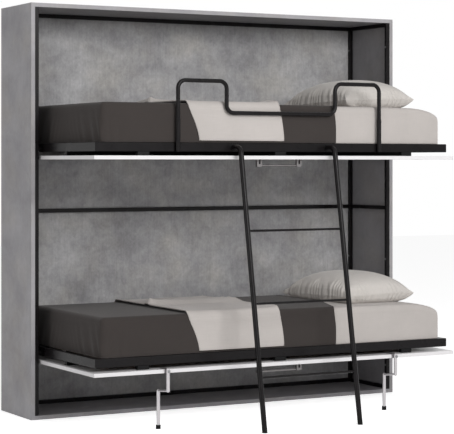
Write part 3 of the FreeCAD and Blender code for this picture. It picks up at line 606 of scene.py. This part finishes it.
def make_coverlet():
    """Dark coverlet with sewn foot corners that hangs to the bed frame."""
    low = MATTRESS_LOW - COVERLET_OUT
    high = MATTRESS_HIGH + COVERLET_OUT
    high[0] = COVERLET_FRONT_HEAD
    low[2] = MATTRESS_LOW[2] + HEM_ABOVE_FRAME
    counts = [round(size / COVERLET_STEP) for size in high - low]
    shares, faces = shell(counts, lambda axis, end: (axis, end) not in ((2, 0), (0, counts[0])))
    points = rounded(low + shares * (high - low), low, high,
                     (SIDE_ROUND, SIDE_ROUND, 0), (0, SIDE_ROUND, TOP_ROUND))
    depth = (high[2] - points[:, 2]) / (high[2] - low[2])
    on_front = points[:, 1] < (low[1] + high[1]) / 2
    swing = np.where(on_front, smooth_step(depth * COVERLET_SWING_RATE), 0.0) * COVERLET_EDGE_SWING
    slant = np.clip((points[:, 1] - low[1]) / COVERLET_SLANT, 0.0, 1.0)
    slant *= COVERLET_REAR_HEAD - COVERLET_FRONT_HEAD
    points[:, 0] += (swing + slant) * shares[:, 0] ** COVERLET_EDGE_POWER
    piece = new_piece("lower_coverlet_cloth", points, faces, "coverlet_fabric")
    held = (depth < COVERLET_HELD).astype(float)
    settle(piece, COVERLET_FRAMES, COVERLET_CLOTH, COVERLET_CONTACT, held)
    settled = points_of(piece)
    set_points(piece, settled + coverlet_folds(points, low, high))
    return piece


# Throw: X of its two sides on top and at the front hem, then the ridge, lines, knot and edges on top.
# Pairs of the ridge are for its left and right end. A wander of the lines is a share of their pitch
# and its rates along X and Y; a patch is a pair of such rates.
THROW_STEP = 0.01
THROW_OUT = 0.008
THROW_THICK = 0.005
THROW_ROUND = 0.0036
THROW_LEFT = (-0.503, -0.442)
THROW_RIGHT = (-0.005, 0.020)
THROW_HEM = 0.012
THROW_LIFT = 0.0065
THROW_SINK = 0.002
THROW_HANG_POWER = 0.8
THROW_FRAMES = 12
THROW_CLOTH = {
    "quality": 6, "mass": 0.3, "tension_stiffness": 25, "compression_stiffness": 25,
    "shear_stiffness": 12, "bending_stiffness": 6,
}
THROW_CONTACT = {"distance_min": 0.002, "collision_quality": 2}
RIDGE_Y = -0.32
RIDGE_HEIGHT = (0.025, 0.014)
RIDGE_FRONT = (0.06, 0.12)
RIDGE_REAR = 0.24
RIDGE_START = 0.02
RIDGE_FALL = 0.7
LINE_PITCH = 0.05
LINE_HEIGHT = 0.0018
LINE_WANDER = ((0.5, 9, 4), (0.6, -5, 13))
LINE_PATCHES = ((11, 17), (6, -9))
KNOT_PLACE = (-0.487, -0.338)
KNOT_HEIGHT = 0.010
KNOT_WIDTH = 0.018
KNOT_RAYS = 5
KNOT_RAY_BASE = 0.6
KNOT_RAY_SWING = 0.4
KNOT_RAY_HEIGHT = 0.5
KNOT_RAY_FADE = 0.5
LEFT_LIFT = 0.005
RIGHT_LIFT = 0.004
RIGHT_CURL = 0.009
RIGHT_CURL_Y = -0.66
RIGHT_CURL_WIDTH = 0.09
EDGE_WIDTH = 0.025


def wrap_path(out, hem):
    """Length of the way over the bed, from rear hem to front hem, and a function for Y and Z along it."""
    front = MATTRESS_LOW[1] - out
    rear = MATTRESS_HIGH[1] + out
    top = MATTRESS_HIGH[2] + out
    bottom = MATTRESS_LOW[2] + hem
    radius = TOP_ROUND + out
    side = top - radius - bottom
    arc = radius * math.pi / 2
    flat = rear - front - 2 * radius

    def place(s):
        if s < side:
            return rear, bottom + s
        s -= side
        if s < arc:
            turn = s / radius
            return rear - radius + radius * math.cos(turn), top - radius + radius * math.sin(turn)
        s -= arc
        if s < flat:
            return rear - radius - s, top
        s -= flat
        if s < arc:
            turn = s / radius
            return front + radius - radius * math.sin(turn), top - radius + radius * math.cos(turn)
        return front, top - radius - (s - arc)

    return 2 * side + 2 * arc + flat, place


def line_rise(x, y, height):
    """Faint lines along the bed that wander and come and go."""
    turns = y / LINE_PITCH
    for share, along, across in LINE_WANDER:
        turns = turns + share * np.sin(along * x + across * y)
    patches = 1.0
    for along, across in LINE_PATCHES:
        patches = patches * np.sin(along * x + across * y)
    return height * (0.5 + 0.5 * patches) * np.sin(2 * math.pi * turns)


def ridge_rise(x, y):
    """Ridge along the bed, lower and wider to the right, and the lines from its foot to the wall."""
    from_left = x - THROW_LEFT[0]
    along = np.clip(from_left / (THROW_RIGHT[0] - THROW_LEFT[0]), 0.0, 1.0)
    height = RIDGE_HEIGHT[0] + (RIDGE_HEIGHT[1] - RIDGE_HEIGHT[0]) * along ** RIDGE_FALL
    height *= smooth_step(from_left / RIDGE_START)
    front = RIDGE_FRONT[0] + (RIDGE_FRONT[1] - RIDGE_FRONT[0]) * along
    back = y - RIDGE_Y
    behind_foot = smooth_step(1 + back / front)
    ridge = height * np.where(back < 0, behind_foot, 1 - smooth_step(back / RIDGE_REAR))
    return ridge + line_rise(x, y, LINE_HEIGHT * behind_foot)


def knot_rise(x, y):
    """Knot at the left end of the ridge, with rays round it."""
    east = x - KNOT_PLACE[0]
    north = y - KNOT_PLACE[1]
    reach = np.hypot(east, north) / KNOT_WIDTH
    rays = KNOT_RAY_BASE + KNOT_RAY_SWING * np.cos(KNOT_RAYS * np.arctan2(north, east))
    return KNOT_HEIGHT * (np.exp(-reach * reach) + KNOT_RAY_HEIGHT * rays * np.exp(-KNOT_RAY_FADE * reach))


def left_rise(x):
    return LEFT_LIFT * np.exp((THROW_LEFT[0] - x) / EDGE_WIDTH)


def right_rise(x, y):
    """Right edge, which curls up most near the front."""
    curl = RIGHT_LIFT + RIGHT_CURL * np.exp(-((y - RIGHT_CURL_Y) / RIGHT_CURL_WIDTH) ** 2)
    return curl * np.exp((x - THROW_RIGHT[0]) / EDGE_WIDTH)


def throw_grid(top):
    """Points and faces of the throw without its folds, with a front end that slants towards the head."""
    length, place = wrap_path(THROW_OUT, THROW_HEM)
    rows = round(length / THROW_STEP)
    columns = round((THROW_RIGHT[0] - THROW_LEFT[0]) / THROW_STEP)
    middle = (MATTRESS_LOW[1] + MATTRESS_HIGH[1]) / 2
    points = []
    for row in range(rows + 1):
        y, z = place(length * row / rows)
        fall = (top - z) / (top - MATTRESS_LOW[2])
        hang = smooth_step(fall ** THROW_HANG_POWER) if y < middle else 0.0
        left = THROW_LEFT[0] + (THROW_LEFT[1] - THROW_LEFT[0]) * hang
        right = THROW_RIGHT[0] + (THROW_RIGHT[1] - THROW_RIGHT[0]) * hang
        for column in range(columns + 1):
            points.append((left + (right - left) * column / columns, y, z))
    faces = []
    for row in range(rows):
        for column in range(columns):
            first = row * (columns + 1) + column
            faces.append([first, first + columns + 1, first + columns + 2, first + 1])
    return np.array(points), faces


def make_throw():
    """Light throw across the bed, with loose folds on top."""
    top = MATTRESS_HIGH[2] + THROW_OUT
    points, faces = throw_grid(top)
    x = points[:, 0]
    y = points[:, 1]
    rise = ridge_rise(x, y) + knot_rise(x, y) + left_rise(x) + right_rise(x, y)
    over = np.clip(1 - (top - points[:, 2]) / TOP_ROUND, 0.0, 1.0)
    folds = np.zeros_like(points)
    folds[:, 2] = (THROW_LIFT + rise) * over
    piece = new_piece("lower_throw_cloth", points, faces, "throw_fabric")
    settle(piece, THROW_FRAMES, THROW_CLOTH, THROW_CONTACT)
    points = capped(points, points_of(piece), THROW_SINK)
    set_points(piece, points + folds)
    return piece


# Pillow: its box, lowered with the mattress, its rounding, seam and corners, and the gathers.
# GATHER_UNEVEN is a share and a rate along the seam, GATHER_BEAT a rate and a start, and
# GATHER_STRENGTH and GATHER_REACH_SHARES are a base and what is added to it.
PILLOW_LOW, PILLOW_HIGH = (np.array(corner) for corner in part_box("lower_pillow"))
PILLOW_LOW[2] -= BEDDING_SINK
PILLOW_HIGH[2] -= BEDDING_SINK
PILLOW_HALF = (PILLOW_HIGH - PILLOW_LOW) / 2
PILLOW_MIDDLE = (PILLOW_LOW + PILLOW_HIGH) / 2
PILLOW_STEP = 0.006
PILLOW_VOXEL = 0.004
PILLOW_PULL = (0.075, 0.05)
PILLOW_PULL_POWER = 8
PILLOW_SEAM = 0.005
PILLOW_MOVE = 0.006
PILLOW_SLUMP = 0.16
PILLOW_EAR = 0.045
PILLOW_EAR_DEPTH = 0.6
SEAM_SHARE = 0.25
SEAM_TILT = 0.05
DOME_POWERS = (2.6, 2.8)
DOME_ROUND = 0.46
UNDERSIDE_RATE = 2.6
UNDERSIDE_ROUND = 0.45
PILLOW_FRAMES = 12
PILLOW_CLOTH = {
    "quality": 6, "mass": 0.2, "tension_stiffness": 15, "compression_stiffness": 15,
    "shear_stiffness": 5, "bending_stiffness": 0.3, "use_pressure": True,
    "uniform_pressure_force": 2.0, "gravity": 0.0,
}
GATHER_PITCH = 0.036
GATHER_DEPTH = 0.024
GATHER_START = 0.008
GATHER_REACH = 0.10
GATHER_REACH_SHARES = (0.75, 0.5)
GATHER_FAN = 1.2
GATHER_UNEVEN = (0.5, 31)
GATHER_STRENGTH = (0.65, 0.35)
GATHER_BEAT = (0.37, 1.0)
GATHER_SHARPNESS = 1.1
HEAD_GATHERS = 0.2
HEAD_GATHERS_SHIFT = 0.4
WALL_GATHERS = 0.55
FRONT_GATHERS = 0.25
FRONT_GATHERS_SHIFT = 0.3


def seam_height(u, v):
    return (PILLOW_HIGH[2] - PILLOW_LOW[2]) * (SEAM_SHARE + SEAM_TILT * (u - v))


def drawn_in(u, v):
    """Shares of its half width and half depth to which the pillow is drawn in between its corners."""
    pull_x = 1 - PILLOW_PULL[0] * (1 - v ** PILLOW_PULL_POWER)
    pull_y = 1 - PILLOW_PULL[1] * (1 - u ** PILLOW_PULL_POWER)
    return pull_x, pull_y


def gathers(along, away):
    """Depth of the creases that fan out from a seam, by place along it and distance from it, in metres."""
    share, rate = GATHER_UNEVEN
    turn = math.pi * (along * (1 + GATHER_FAN * away) / GATHER_PITCH + share * np.sin(rate * along))
    beat = np.sin(GATHER_BEAT[0] * turn + GATHER_BEAT[1])
    strength = GATHER_STRENGTH[0] + GATHER_STRENGTH[1] * beat
    crease = strength * (1 - np.abs(np.sin(turn))) ** GATHER_SHARPNESS
    reach = GATHER_REACH * (GATHER_REACH_SHARES[0] + GATHER_REACH_SHARES[1] * strength)
    return GATHER_DEPTH * crease * smooth_step(away / GATHER_START) * (1 - smooth_step(away / reach))


def pillow_creases(points):
    """Depth of the creases on the pillow, mostly along its foot side and towards the wall."""
    x = points[:, 0] - PILLOW_MIDDLE[0]
    y = points[:, 1] - PILLOW_MIDDLE[1]
    u = np.clip(x / PILLOW_HALF[0], -1.0, 1.0)
    v = np.clip(y / PILLOW_HALF[1], -1.0, 1.0)
    up = points[:, 2] - PILLOW_LOW[2] - seam_height(u, v)
    pull_x, pull_y = drawn_in(u, v)
    rim_x = PILLOW_HALF[0] * pull_x
    rim_y = PILLOW_HALF[1] * pull_y
    foot = gathers(y, np.hypot(x + rim_x, up))
    head = gathers(y + HEAD_GATHERS_SHIFT, np.hypot(x - rim_x, up))
    wall = gathers(x, np.hypot(y - rim_y, up))
    front = gathers(x + FRONT_GATHERS_SHIFT, np.hypot(y + rim_y, up))
    return foot + HEAD_GATHERS * head + WALL_GATHERS * wall + FRONT_GATHERS * front


def pillow_dome(u, v):
    """Height of the upper side as a share, lower towards the wall, the foot and the corners."""
    dome = ((1 - np.abs(u) ** DOME_POWERS[0]) * (1 - np.abs(v) ** DOME_POWERS[1])) ** DOME_ROUND
    dome *= 1 - PILLOW_SLUMP * (1 - u) * (1 + v) / 4
    corner = np.hypot(PILLOW_HALF[0] * (1 - np.abs(u)), PILLOW_HALF[1] * (1 - np.abs(v)))
    return dome * (1 - PILLOW_EAR_DEPTH * np.exp(-(corner / PILLOW_EAR) ** 2))


def pillow_shell():
    """Points and faces of the pillow without its creases: a dome over the seam and a flat underside."""
    size = PILLOW_HIGH - PILLOW_LOW
    counts = (round(size[0] / PILLOW_STEP), round(size[1] / PILLOW_STEP), 1)
    shares, faces = shell(counts)
    u = 2 * shares[:, 0] - 1
    v = 2 * shares[:, 1] - 1
    pull_x, pull_y = drawn_in(u, v)
    x = PILLOW_HALF[0] * u * pull_x
    y = PILLOW_HALF[1] * v * pull_y
    seam = seam_height(u, v)
    flat = np.minimum(1.0, UNDERSIDE_RATE * ((1 - u * u) * (1 - v * v)) ** UNDERSIDE_ROUND)
    upper = seam + (size[2] - seam) * pillow_dome(u, v)
    under = (seam - PILLOW_SEAM) * (1 - flat)
    z = np.where(shares[:, 2] > 0.5, upper, under)
    return np.stack((x + PILLOW_MIDDLE[0], y + PILLOW_MIDDLE[1], z + PILLOW_LOW[2]), 1), faces


def make_pillow():
    """Full pillow with a low seam, pointed corners and gathers along the seam."""
    points, faces = pillow_shell()
    piece = new_piece("lower_pillow_case", points, faces, "pillow_fabric")
    settle(piece, PILLOW_FRAMES, PILLOW_CLOTH)
    set_points(piece, capped(points, points_of(piece), PILLOW_MOVE))
    even_mesh(piece, PILLOW_VOXEL)
    points = points_of(piece)
    points -= pillow_creases(points)[:, None] * normals_of(piece)
    points[:, 2] = np.clip(points[:, 2], PILLOW_LOW[2], PILLOW_HIGH[2])
    low_share = 1 - (points[:, 2] - PILLOW_LOW[2]) / (PILLOW_HIGH[2] - PILLOW_LOW[2])
    points[:, 2] -= head_drop(points[:, 0]) * low_share
    set_points(piece, points)
    return piece


# Finishing of the soft pieces
SMOOTH_SHARE = 0.5
SMOOTH_ROUNDS = 4
HEM_SIDES = 8
HEM_REFERENCE = (0.31, 0.45, 0.83)
CONTACT_SKIN = 0.002
CONTACT_FRICTION = 20


def even_mesh(piece, voxel):
    """Remakes the mesh with faces of one size and smooths away the steps."""
    remesh = piece.modifiers.new("even", "REMESH")
    remesh.mode = "VOXEL"
    remesh.voxel_size = voxel
    smooth = piece.modifiers.new("smooth", "SMOOTH")
    smooth.factor = SMOOTH_SHARE
    smooth.iterations = SMOOTH_ROUNDS
    apply_all(piece)


def refine(piece):
    smooth = piece.modifiers.new("smooth", "SUBSURF")
    smooth.levels = smooth.render_levels = 1
    apply_all(piece)


def rims(piece):
    """Closed chains of vertices along the open edges of a cloth."""
    uses = {}
    for face in piece.data.polygons:
        for key in face.edge_keys:
            uses[key] = uses.get(key, 0) + 1
    joined = {}
    for first, second in (key for key, count in uses.items() if count == 1):
        joined.setdefault(first, []).append(second)
        joined.setdefault(second, []).append(first)
    chains = []
    while joined:
        start = next(iter(joined))
        chain = [start]
        last, here = None, start
        while True:
            following = [n for n in joined.pop(here) if n != last and (n == start or n in joined)]
            last, here = here, following[0] if following else start
            if here == start:
                break
            chain.append(here)
        chains.append(chain)
    return chains


def hem_tube(path, radius):
    """Points and faces of a closed rolled hem along a path."""
    ahead = np.roll(path, -1, 0) - np.roll(path, 1, 0)
    ahead /= np.maximum(np.linalg.norm(ahead, axis=1, keepdims=True), TINY)
    across = np.cross(ahead, np.array(HEM_REFERENCE))
    across /= np.linalg.norm(across, axis=1, keepdims=True)
    normal = np.cross(ahead, across)
    turns = [2 * math.pi * side / HEM_SIDES for side in range(HEM_SIDES)]
    rings = [path + radius * (math.cos(turn) * across + math.sin(turn) * normal) for turn in turns]
    points = np.stack(rings, 1).reshape(-1, 3)
    faces = []
    for ring in range(len(path)):
        here = ring * HEM_SIDES
        following = (ring + 1) % len(path) * HEM_SIDES
        for side in range(HEM_SIDES):
            beside = (side + 1) % HEM_SIDES
            faces.append([here + side, following + side, following + beside, here + beside])
    return points, faces


def finish_cloth(piece, thickness, hem_radius):
    """Gives a cloth its thickness and a rolled hem round its open edges."""
    points = points_of(piece)
    hems = [hem_tube(points[chain], hem_radius) for chain in rims(piece)]
    solid = piece.modifiers.new("thickness", "SOLIDIFY")
    solid.thickness = thickness
    solid.offset = 0.0
    refine(piece)
    body = bmesh.new()
    body.from_mesh(piece.data)
    for hem_points, hem_faces in hems:
        corners = [body.verts.new(point) for point in hem_points]
        for face in hem_faces:
            body.faces.new([corners[number] for number in face]).smooth = True
    body.to_mesh(piece.data)
    body.free()


def collide(piece, on):
    if on:
        piece.modifiers.new("contact", "COLLISION")
        piece.collision.thickness_outer = CONTACT_SKIN
        piece.collision.cloth_friction = CONTACT_FRICTION
    else:
        piece.modifiers.clear()


def raised_copy(piece):
    twin = bpy.data.objects.new(piece.name.replace("lower", "upper"), piece.data.copy())
    SCENE.collection.objects.link(twin)
    points = points_of(twin)
    points[:, 2] += UPPER_RISE
    set_points(twin, points)
    return twin


def make_lower_bedding():
    mattress = make_mattress()
    collide(mattress, True)
    coverlet = make_coverlet()
    collide(mattress, False)
    collide(coverlet, True)
    throw = make_throw()
    collide(coverlet, False)
    pillow = make_pillow()
    finish_cloth(coverlet, COVERLET_THICK, HEM_ROUND)
    finish_cloth(throw, THROW_THICK, THROW_ROUND)
    return {"mattress": mattress, "coverlet": coverlet, "throw": throw, "pillow": pillow}


def make_bedding():
    """Makes the lower bed's soft pieces, copies them for the upper bed, attaches both to their beds and
    hides the solids they replace.
    """
    lower = make_lower_bedding()
    upper = {part: raised_copy(piece) for part, piece in lower.items()}
    for bed, parts, rise in (("lower", lower, 0.0), ("upper", upper, UPPER_RISE)):
        for part, piece in parts.items():
            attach(piece, bed + "_bed")
            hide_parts(bed + "_" + part)
        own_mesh(parts["pillow"])


def seen_rays(tree):
    """1 for rays that come straight from the camera, by a mirror or through glass."""
    rays = tree.nodes.new("ShaderNodeLightPath")
    direct = tree.nodes.new("ShaderNodeMath")
    either = tree.nodes.new("ShaderNodeMath")
    direct.operation = either.operation = "MAXIMUM"
    tree.links.new(rays.outputs["Is Camera Ray"], direct.inputs[0])
    tree.links.new(rays.outputs["Is Glossy Ray"], direct.inputs[1])
    tree.links.new(direct.outputs[0], either.inputs[0])
    tree.links.new(rays.outputs["Is Transmission Ray"], either.inputs[1])
    return either.outputs[0]


def make_floor():
    """Pale floor that keeps shadows and is lifted to white where the camera sees it lit."""
    material = bpy.data.materials.new("pale_floor")
    material.use_nodes = True
    tree = material.node_tree
    shader = tree.nodes["Principled BSDF"]
    shader.inputs["Base Color"].default_value = linear(*FLOOR_LEVELS)
    shader.inputs["Roughness"].default_value = FLOOR_ROUGHNESS
    shader.inputs["Specular IOR Level"].default_value = 0.0
    glow = tree.nodes.new("ShaderNodeEmission")
    share = tree.nodes.new("ShaderNodeMath")
    share.operation = "MULTIPLY"
    share.inputs[1].default_value = FLOOR_LIFT
    tree.links.new(seen_rays(tree), share.inputs[0])
    tree.links.new(share.outputs[0], glow.inputs["Strength"])
    both = tree.nodes.new("ShaderNodeAddShader")
    tree.links.new(shader.outputs[0], both.inputs[0])
    tree.links.new(glow.outputs[0], both.inputs[1])
    tree.links.new(both.outputs[0], tree.nodes["Material Output"].inputs[0])
    mesh = bpy.data.meshes.new("floor")
    signs = ((-1, -1), (1, -1), (1, 1), (-1, 1))
    corners = [(FLOOR_REACH * x, FLOOR_REACH * y, 0) for x, y in signs]
    mesh.from_pydata(corners, [], [(0, 1, 2, 3)])
    mesh.materials.append(material)
    floor = bpy.data.objects.new("floor", mesh)
    SCENE.collection.objects.link(floor)


def make_world():
    """White where the camera sees it, dim white light for everything else."""
    world = bpy.data.worlds.new("studio")
    SCENE.world = world
    world.use_nodes = True
    tree = world.node_tree
    ambient = tree.nodes["Background"]
    ambient.inputs["Color"].default_value = WHITE
    ambient.inputs["Strength"].default_value = AMBIENT
    white = tree.nodes.new("ShaderNodeBackground")
    white.inputs["Color"].default_value = WHITE
    blend = tree.nodes.new("ShaderNodeMixShader")
    tree.links.new(seen_rays(tree), blend.inputs[0])
    tree.links.new(ambient.outputs[0], blend.inputs[1])
    tree.links.new(white.outputs[0], blend.inputs[2])
    tree.links.new(blend.outputs[0], tree.nodes["World Output"].inputs[0])


def make_lamp(name, place, aim, size, power):
    data = bpy.data.lights.new(name, "AREA")
    data.shape = "RECTANGLE"
    data.size = size[0]
    data.size_y = size[1]
    data.energy = power
    lamp = bpy.data.objects.new(name, data)
    lamp.location = place
    lamp.rotation_euler = (Vector(aim) - Vector(place)).to_track_quat("-Z", "Y").to_euler()
    SCENE.collection.objects.link(lamp)


def make_camera():
    data = bpy.data.cameras.new("photo_camera")
    data.sensor_width = CAMERA_SENSOR
    data.lens = CAMERA_LENS
    data.shift_y = CAMERA_SHIFT_Y
    data.clip_end = CAMERA_REACH
    camera = bpy.data.objects.new("photo_camera", data)
    camera.location = CAMERA_PLACE
    camera.rotation_euler = [math.radians(angle) for angle in CAMERA_TURN]
    SCENE.collection.objects.link(camera)
    SCENE.camera = camera


make_camera()
make_floor()
make_world()
for row in LAMPS:
    make_lamp(*row)
SCENE.view_settings.view_transform = "Standard"
dress_cad_nodes()
make_bedding()
